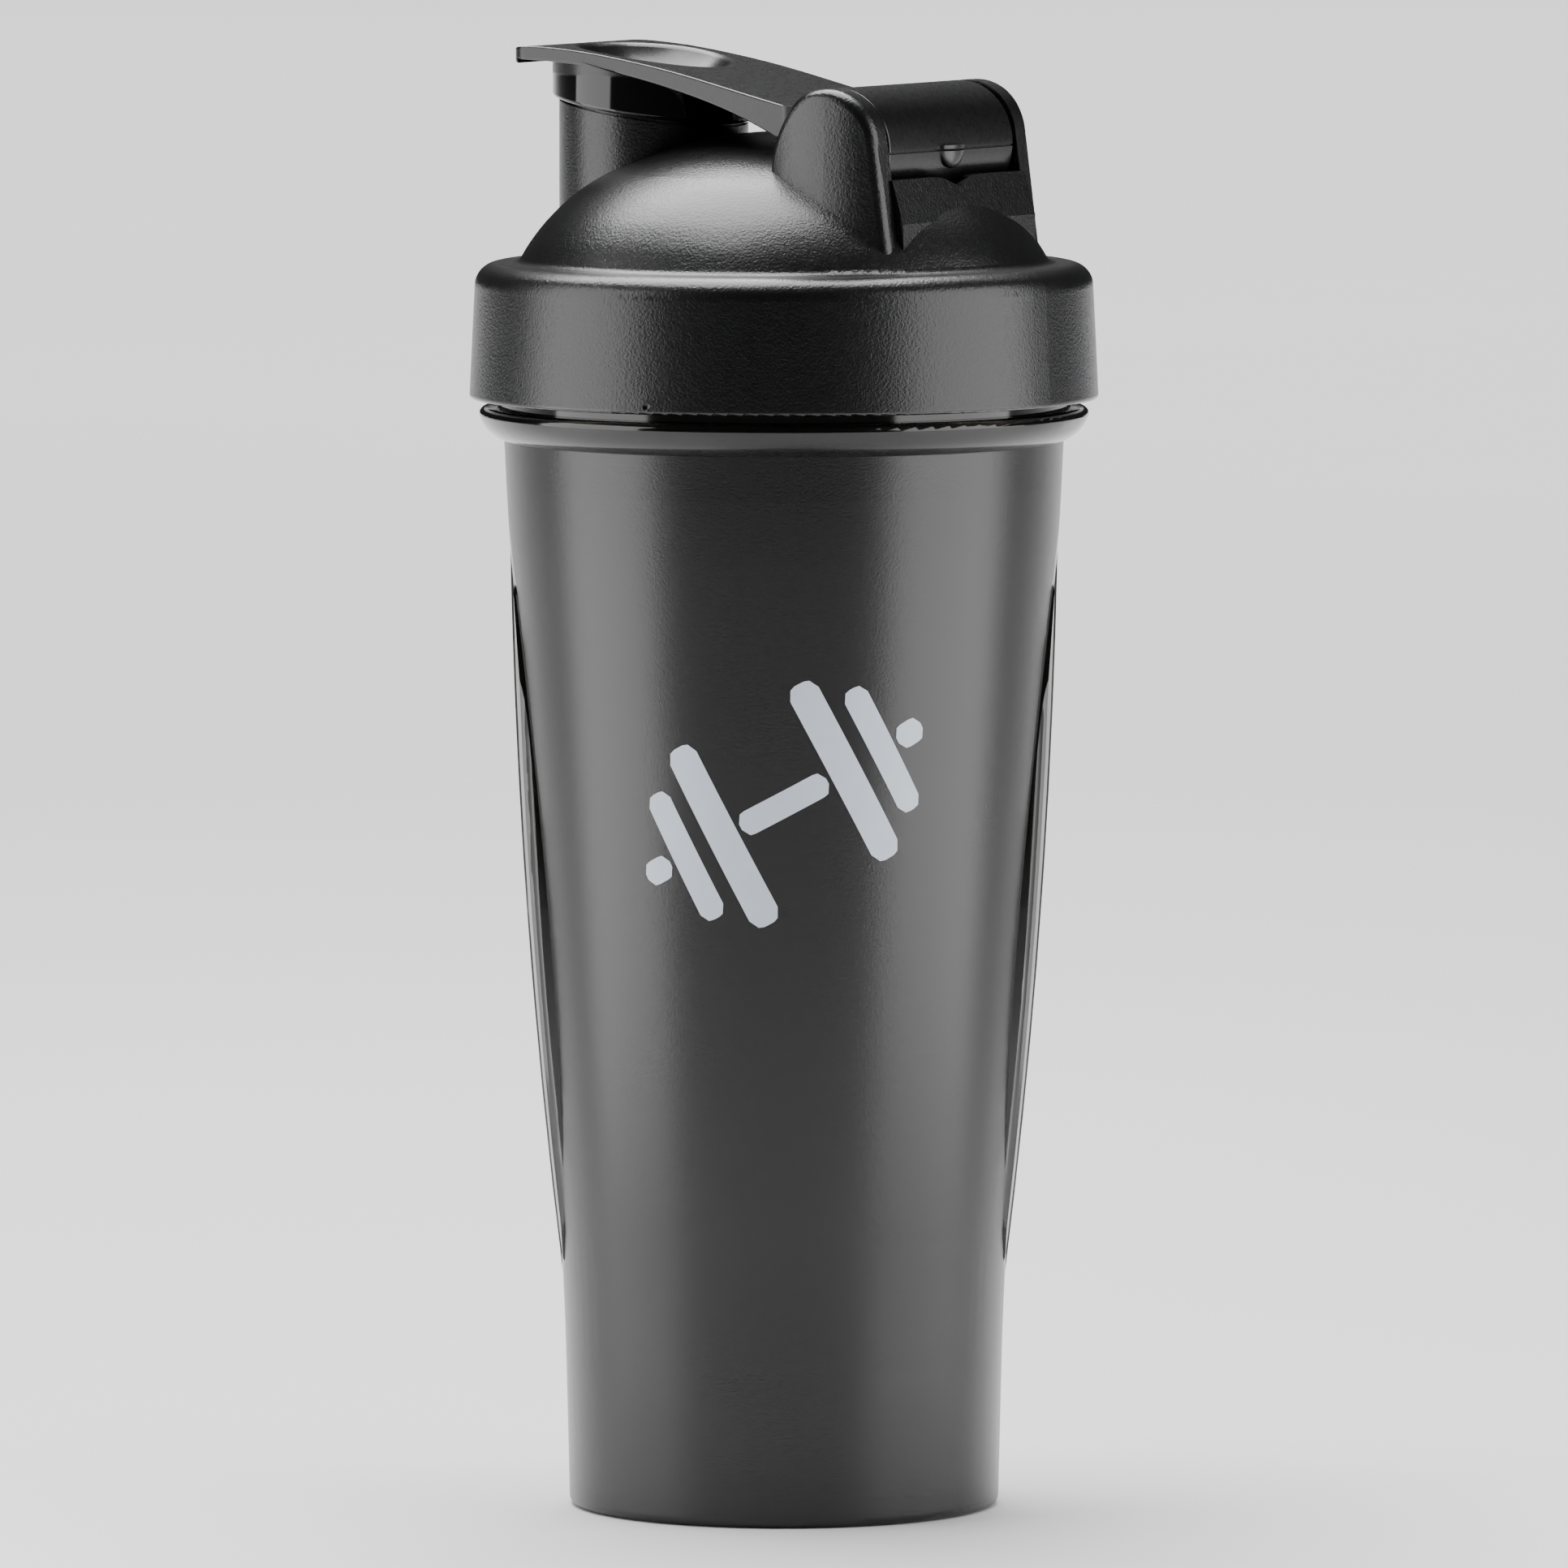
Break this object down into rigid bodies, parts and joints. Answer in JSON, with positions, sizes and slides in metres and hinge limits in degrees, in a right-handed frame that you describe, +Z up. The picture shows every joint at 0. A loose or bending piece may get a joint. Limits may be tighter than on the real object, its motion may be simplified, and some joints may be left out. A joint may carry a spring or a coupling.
{
  "type": "protein shaker bottle",
  "caption": "Tapered translucent shaker cup with ribbed side grips, a screw lid with a capped drinking spout on a hinged lever, and a loose wire whisk ball inside.",
  "frame": {"origin": "centre of the cup's foot on the resting plane", "axes": "+Z up through the lid, -Y towards the printed front, grip panels facing +X and -X"},
  "size_m": [0.0952, 0.0952, 0.2215],
  "materials": {
    "smoked_plastic": "translucent smoke, finely frosted wall with polished grips, bead and neck",
    "lid_plastic": "fine leather-grain moulding, semi-matt black",
    "cap_plastic": "satin black lever, polished skirt",
    "seal_rubber": "matt",
    "gasket_rubber": "matt",
    "wire_steel": "polished stainless wire",
    "pale_ink": "pad-printed matt ink"
  },
  "bodies": {
    "cup": {"cup": "smoked_plastic"},
    "seal_ring": {"lid_gasket": "gasket_rubber"},
    "lid": {"lid": "lid_plastic"},
    "cap": {"flip_cap": "cap_plastic", "spout_seal": "seal_rubber"},
    "whisk": {"whisk_ball": "wire_steel"}
  },
  "joints": [
    {"name": "lid_rise", "type": "slide", "parent": "cup", "child": "seal_ring", "axis": [0, 0, 1], "range_m": [0, 0.0165]},
    {"name": "lid_turn", "type": "hinge", "parent": "seal_ring", "child": "lid", "pos_m": [0, 0, 0.178], "axis": [0, 0, 1], "range_deg": [0, 1080]},
    {"name": "cap_open", "type": "hinge", "parent": "lid", "child": "cap", "pos_m": [0.01753, -0.01138, 0.20735], "axis": [0.5446, 0.8387, 0], "range_deg": [0, 158]},
    {"name": "ball_rise", "type": "slide", "parent": "cup", "child": "whisk", "axis": [0, 0, 1], "range_m": [0, 0.14]}
  ],
  "couplings": [
    {"joint": "lid_rise", "follows": "lid_turn", "m_per_rad": 0.00087535}
  ]
}
